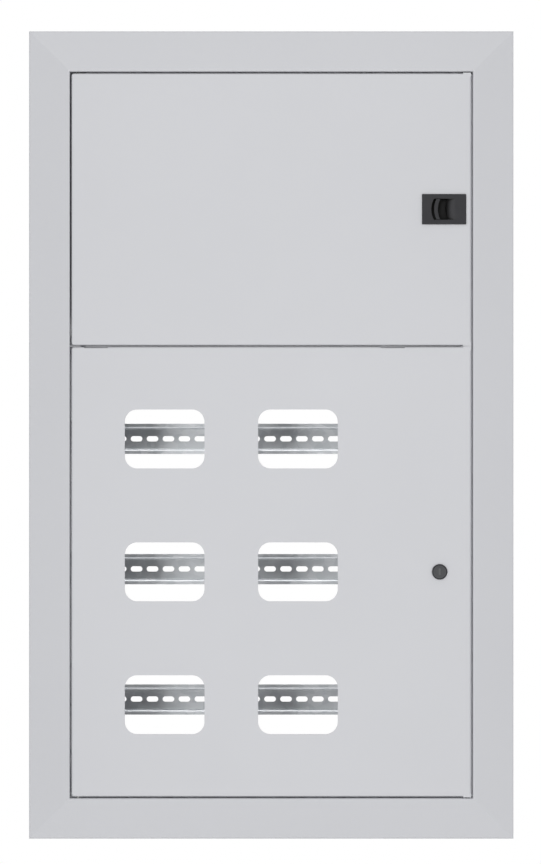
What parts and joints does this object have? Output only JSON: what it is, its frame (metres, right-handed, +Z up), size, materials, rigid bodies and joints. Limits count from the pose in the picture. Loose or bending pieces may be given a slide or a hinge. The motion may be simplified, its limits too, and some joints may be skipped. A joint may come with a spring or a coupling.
{
  "type": "floor distribution board",
  "caption": "Flush sheet-steel distribution board with a sloping trim frame, a plain upper door, a lower door with rounded meter windows, and slotted rails behind them.",
  "frame": {"origin": "centre of the rectangle of wall fixing holes, on the rear plane of the box", "axes": "+X to the right of someone facing the doors, +Y into the wall, +Z up"},
  "size_m": [0.552, 0.1423, 0.92],
  "materials": {
    "grey_powder_coat": "light grey powder coat, fine texture",
    "galvanised_steel": "galvanised",
    "zinc_plated_fasteners": "bright zinc plate",
    "aluminium_rivets": "plain",
    "black_plastic": "fine moulded grain",
    "dark_lock_metal": "dark satin plating",
    "lock_shutter_steel": "satin",
    "grommet_rubber": "matte"
  },
  "bodies": {
    "root": {"trim_frame": "grey_powder_coat", "left_wall": "grey_powder_coat", "right_wall": "grey_powder_coat", "top_wall": "grey_powder_coat", "bottom_wall": "grey_powder_coat", "top_gland_plate": "grey_powder_coat", "bottom_gland_plate": "grey_powder_coat", "cable_grommets": "grommet_rubber", "gland_screws": "zinc_plated_fasteners", "divider_shelf": "grey_powder_coat", "lower_right_stop": "grey_powder_coat", "middle_right_stop": "grey_powder_coat", "upper_right_stop": "grey_powder_coat", "top_stop": "grey_powder_coat", "bottom_stop": "grey_powder_coat", "left_mounting_strip": "galvanised_steel", "centre_mounting_strip": "galvanised_steel", "right_mounting_strip": "galvanised_steel", "upper_left_rail": "galvanised_steel", "upper_right_rail": "galvanised_steel", "middle_left_rail": "galvanised_steel", "middle_right_rail": "galvanised_steel", "lower_left_rail": "galvanised_steel", "lower_right_rail": "galvanised_steel", "rail_screws": "zinc_plated_fasteners", "rail_nuts": "zinc_plated_fasteners", "mounting_plate": "galvanised_steel", "trim_rivets": "aluminium_rivets", "wall_rivets": "aluminium_rivets", "shelf_rivets": "aluminium_rivets", "strip_rivets": "aluminium_rivets", "hinge_lug": "grey_powder_coat", "top_hinge_pin": "zinc_plated_fasteners", "middle_hinge_pin": "zinc_plated_fasteners", "bottom_hinge_pin": "zinc_plated_fasteners", "box_earth_stud": "zinc_plated_fasteners", "box_earth_nut": "zinc_plated_fasteners"},
    "upper_door": {"upper_door": "grey_powder_coat", "latch_housing": "black_plastic", "upper_door_earth_stud": "zinc_plated_fasteners", "upper_door_earth_nut": "zinc_plated_fasteners"},
    "latch_slider": {"latch_slider": "black_plastic", "latch_tongue": "zinc_plated_fasteners", "latch_screw": "zinc_plated_fasteners"},
    "lower_door": {"lower_door": "grey_powder_coat", "left_stiffener": "grey_powder_coat", "right_stiffener": "grey_powder_coat", "lock_housing": "dark_lock_metal", "lock_nut": "zinc_plated_fasteners", "lower_door_earth_stud": "zinc_plated_fasteners", "lower_door_earth_nut": "zinc_plated_fasteners"},
    "lock_cylinder": {"lock_cylinder": "dark_lock_metal", "lock_shutter": "lock_shutter_steel", "lock_cam": "zinc_plated_fasteners", "cam_screw": "zinc_plated_fasteners"}
  },
  "joints": [
    {"name": "upper_door_hinge", "type": "hinge", "parent": "root", "child": "upper_door", "pos_m": [-0.22, -0.1355, 0.2565], "axis": [0, 0, -1], "range_deg": [0, 120]},
    {"name": "lower_door_hinge", "type": "hinge", "parent": "root", "child": "lower_door", "pos_m": [-0.22, -0.1355, -0.1555], "axis": [0, 0, -1], "range_deg": [0, 120]},
    {"name": "latch_slide", "type": "slide", "parent": "upper_door", "child": "latch_slider", "axis": [1, 0, 0], "range_m": [0, 0.005]},
    {"name": "lock_turn", "type": "hinge", "parent": "lower_door", "child": "lock_cylinder", "pos_m": [0.1913, -0.14, -0.1555], "axis": [0, -1, 0], "range_deg": [0, 90]}
  ]
}
